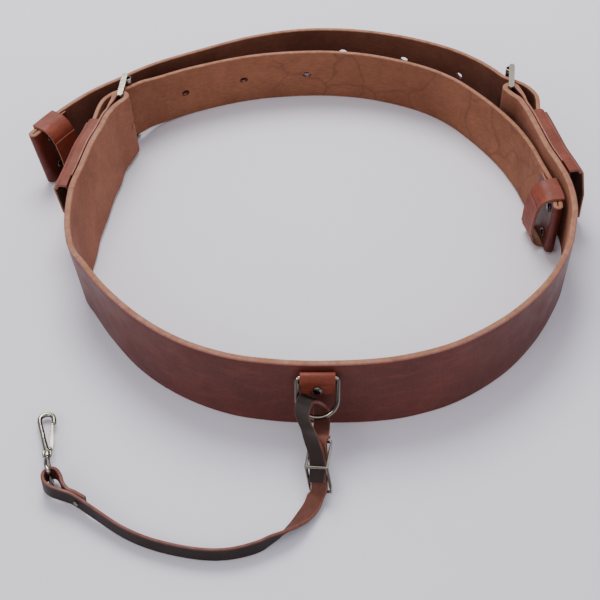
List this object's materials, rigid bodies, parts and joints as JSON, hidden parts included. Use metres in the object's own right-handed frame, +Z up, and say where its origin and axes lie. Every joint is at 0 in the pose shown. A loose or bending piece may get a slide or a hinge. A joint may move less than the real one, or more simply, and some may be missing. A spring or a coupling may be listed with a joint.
{
  "type": "saddle girth",
  "caption": "Western rear cinch: a wide leather strap with a roller buckle at each end, folded billet straps, a centre dee ring and a connector strap with a swivel snap.",
  "frame": {"origin": "the middle of the wide strap's lower edge, on the floor under the dee ring", "axes": "+X to the right along the wide strap, +Y back across the loop to the billets, +Z up the straps' width"},
  "size_m": [0.6045, 0.7118, 0.0833],
  "materials": {
    "cinch_leather": "dark oiled red-brown leather, tan cut edges",
    "billet_leather": "oiled leather, red-brown grain with pale flesh side",
    "keeper_leather": "satin orange-brown leather",
    "connector_leather": "very dark brown leather",
    "nickel": "polished nickel plate",
    "screw_nickel": "dull nickel plated screw heads"
  },
  "bodies": {
    "harness": {"cinch_strap": "cinch_leather", "cinch_keeper_left": "keeper_leather", "cinch_keeper_right": "keeper_leather", "billet_left": "billet_leather", "billet_right": "billet_leather", "billet_keeper_left": "keeper_leather", "billet_keeper_right": "keeper_leather", "billet_left_upper_post": "screw_nickel", "billet_left_upper_screw": "screw_nickel", "billet_left_lower_post": "screw_nickel", "billet_left_lower_screw": "screw_nickel", "billet_right_upper_post": "screw_nickel", "billet_right_upper_screw": "screw_nickel", "billet_right_lower_post": "screw_nickel", "billet_right_lower_screw": "screw_nickel", "dee_chape": "keeper_leather", "chape_post": "screw_nickel", "chape_screw": "screw_nickel"},
    "buckle_left": {"buckle_frame_left": "nickel"},
    "roller_left": {"buckle_roller_left": "nickel"},
    "tongue_left": {"buckle_tongue_left": "nickel"},
    "buckle_right": {"buckle_frame_right": "nickel"},
    "roller_right": {"buckle_roller_right": "nickel"},
    "tongue_right": {"buckle_tongue_right": "nickel"},
    "dee": {"dee_ring": "nickel"},
    "connector": {"connector_strap": "connector_leather", "conway_buckle": "nickel", "connector_rivet": "nickel"},
    "snap_eye": {"snap_swivel_eye": "nickel"},
    "snap_hook": {"snap_hook": "nickel", "snap_gate_pin": "nickel"},
    "snap_gate": {"snap_gate": "nickel"}
  },
  "joints": [
    {"name": "buckle_left_hinge", "type": "hinge", "parent": "harness", "child": "buckle_left", "pos_m": [-0.2138, 0.3985, 0.0417], "axis": [-0.0758, 0.0523, 0.9958], "range_deg": [0, 4]},
    {"name": "buckle_right_hinge", "type": "hinge", "parent": "harness", "child": "buckle_right", "pos_m": [0.2216, 0.4155, 0.0417], "axis": [0, 0, -1], "range_deg": [0, 4]},
    {"name": "tongue_left_hinge", "type": "hinge", "parent": "buckle_left", "child": "tongue_left", "pos_m": [-0.2138, 0.3985, 0.0417], "axis": [-0.0758, 0.0523, 0.9958], "range_deg": [0, 2]},
    {"name": "tongue_right_hinge", "type": "hinge", "parent": "buckle_right", "child": "tongue_right", "pos_m": [0.2216, 0.4155, 0.0417], "axis": [0, 0, -1], "range_deg": [0, 2]},
    {"name": "roller_left_spin", "type": "hinge", "parent": "buckle_left", "child": "roller_left", "pos_m": [-0.20921, 0.43132, 0.0417], "axis": [-0.0758, 0.0523, 0.9958], "continuous": true},
    {"name": "roller_right_spin", "type": "hinge", "parent": "buckle_right", "child": "roller_right", "pos_m": [0.22382, 0.45127, 0.0417], "axis": [0, 0, 1], "continuous": true},
    {"name": "dee_swing", "type": "hinge", "parent": "harness", "child": "dee", "pos_m": [0, -0.00352, 0.066], "axis": [-1, 0, 0], "range_deg": [0, 55]},
    {"name": "connector_swing", "type": "hinge", "parent": "dee", "child": "connector", "pos_m": [0, -0.02047, 0.02966], "axis": [1, 0, 0], "range_deg": [0, 60]},
    {"name": "snap_eye_swing", "type": "hinge", "parent": "connector", "child": "snap_eye", "pos_m": [-0.2426, -0.0774, 0.012], "axis": [0, 0, 1], "range_deg": [-25, 25]},
    {"name": "snap_swivel", "type": "hinge", "parent": "snap_eye", "child": "snap_hook", "pos_m": [-0.2485, -0.053, 0.012], "axis": [-0.154, 0.9801, -0.125], "continuous": true},
    {"name": "snap_gate_hinge", "type": "hinge", "parent": "snap_hook", "child": "snap_gate", "pos_m": [-0.24613, -0.04228, 0.01071], "axis": [-0.0194, 0.1235, 0.9922], "range_deg": [0, 12], "stiffness_Nm_per_rad": 0.02}
  ]
}
